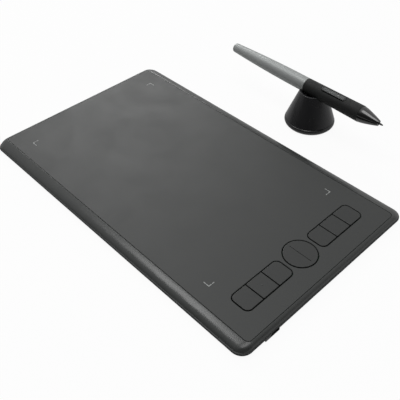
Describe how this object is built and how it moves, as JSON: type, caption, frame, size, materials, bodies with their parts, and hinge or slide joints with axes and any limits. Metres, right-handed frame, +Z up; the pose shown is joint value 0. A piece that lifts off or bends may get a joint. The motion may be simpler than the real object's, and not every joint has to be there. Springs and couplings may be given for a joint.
{
  "type": "graphics tablet",
  "caption": "Slim desk graphics tablet with a full-face drawing panel, press keys, a round rocker key, a battery-free pen and a cone pen stand.",
  "frame": {"origin": "on the desk, under the middle of the tablet", "axes": "+X along the tablet towards its keys, +Y across it towards the pen stand, +Z up"},
  "size_m": [0.3118, 0.2622, 0.0458],
  "materials": {
    "panel": "fine-textured mat sheet, dark grey",
    "adhesive": "thin double-sided tape",
    "housing": "satin sprayed ABS, dark grey",
    "shell": "fine-grained moulded ABS",
    "key_cap": "satin moulded ABS",
    "foot_rubber": "mat silicone rubber",
    "screw_steel": "black-zinc steel",
    "board_green": "solder-masked glass-fibre board",
    "shield_steel": "thin tinned steel sheet",
    "chip_black": "moulded epoxy package",
    "crystal_can": "drawn metal can",
    "connector": "heat-resistant connector nylon",
    "cable_film": "polyester flat cable",
    "socket_steel": "nickel-plated steel shell",
    "pen_silver": "metallic grey lacquer",
    "pen_rubber": "soft-touch black",
    "pen_gloss": "gloss black moulding",
    "pen_button": "gloss grey moulding",
    "nib_plastic": "acetal nib",
    "ferrite": "sintered ferrite",
    "copper": "enamelled copper winding",
    "carrier": "moulded nylon",
    "stand_black": "satin-gloss black moulding"
  },
  "bodies": {
    "tablet": {"drawing_panel": "panel", "panel_tape": "adhesive", "top_housing": "housing", "bottom_shell": "shell", "case_screws": "screw_steel", "sensor_board": "board_green", "shield_plate": "shield_steel", "main_board": "board_green", "key_switches": "chip_black", "controller_chip": "chip_black", "clock_crystal": "crystal_can", "multiplexer_chips": "chip_black", "cable_connectors": "connector", "flat_cable": "cable_film", "socket_shell": "socket_steel", "socket_tongue": "chip_black", "foot_1": "foot_rubber", "foot_2": "foot_rubber", "foot_3": "foot_rubber", "foot_4": "foot_rubber"},
    "key_1": {"key_1": "key_cap"},
    "key_2": {"key_2": "key_cap"},
    "key_3": {"key_3": "key_cap"},
    "key_4": {"key_4": "key_cap"},
    "key_5": {"key_5": "key_cap"},
    "key_6": {"key_6": "key_cap"},
    "round_key": {"round_key": "key_cap"},
    "stand_foot": {"stand_base": "stand_black", "stand_pad": "foot_rubber", "nib_tray": "carrier", "spare_nibs": "nib_plastic", "nib_puller": "screw_steel"},
    "stand_top": {"stand_body": "stand_black"},
    "pen": {"pen_barrel": "pen_silver", "pen_grip": "pen_rubber", "pen_cone": "pen_gloss", "pen_core": "ferrite", "pen_coil": "copper", "pressure_sensor": "carrier", "pen_carrier": "carrier", "pen_board": "board_green", "pen_switches": "chip_black"},
    "pen_tip": {"pen_nib": "nib_plastic", "nib_holder": "carrier"},
    "pen_button": {"pen_rocker": "pen_button"}
  },
  "joints": [
    {"name": "key_1_press", "type": "slide", "parent": "tablet", "child": "key_1", "axis": [0, 0, -1], "range_m": [0, 0.0004], "stiffness_N_per_m": 600, "springref_m": -0.0005},
    {"name": "key_2_press", "type": "slide", "parent": "tablet", "child": "key_2", "axis": [0, 0, -1], "range_m": [0, 0.0004], "stiffness_N_per_m": 600, "springref_m": -0.0005},
    {"name": "key_3_press", "type": "slide", "parent": "tablet", "child": "key_3", "axis": [0, 0, -1], "range_m": [0, 0.0004], "stiffness_N_per_m": 600, "springref_m": -0.0005},
    {"name": "key_4_press", "type": "slide", "parent": "tablet", "child": "key_4", "axis": [0, 0, -1], "range_m": [0, 0.0004], "stiffness_N_per_m": 600, "springref_m": -0.0005},
    {"name": "key_5_press", "type": "slide", "parent": "tablet", "child": "key_5", "axis": [0, 0, -1], "range_m": [0, 0.0004], "stiffness_N_per_m": 600, "springref_m": -0.0005},
    {"name": "key_6_press", "type": "slide", "parent": "tablet", "child": "key_6", "axis": [0, 0, -1], "range_m": [0, 0.0004], "stiffness_N_per_m": 600, "springref_m": -0.0005},
    {"name": "round_key_rock", "type": "hinge", "parent": "tablet", "child": "round_key", "pos_m": [0.126, 0, 0.0054], "axis": [1, 0, 0], "range_deg": [-1.5, 1.5], "stiffness_Nm_per_rad": 0.2},
    {"name": "stand_lift", "type": "slide", "parent": "tablet", "child": "stand_foot", "axis": [0, 0, 1], "range_m": [0, 0.06]},
    {"name": "stand_twist", "type": "hinge", "parent": "stand_foot", "child": "stand_top", "pos_m": [0.0207, 0.1434, 0], "axis": [0, 0, -1], "range_deg": [0, 40]},
    {"name": "pen_lift", "type": "slide", "parent": "stand_top", "child": "pen", "axis": [0, 0, 1], "range_m": [0, 0.05]},
    {"name": "nib_press", "type": "slide", "parent": "pen", "child": "pen_tip", "axis": [-0.9995, 0.0332, 0], "range_m": [0, 0.0008], "stiffness_N_per_m": 150, "springref_m": -0.0005},
    {"name": "pen_button_rock", "type": "hinge", "parent": "pen", "child": "pen_button", "pos_m": [0.04434, 0.14127, 0.04272], "axis": [0.032, 0.9654, 0.2588], "range_deg": [-2.5, 2.5], "stiffness_Nm_per_rad": 0.05}
  ]
}
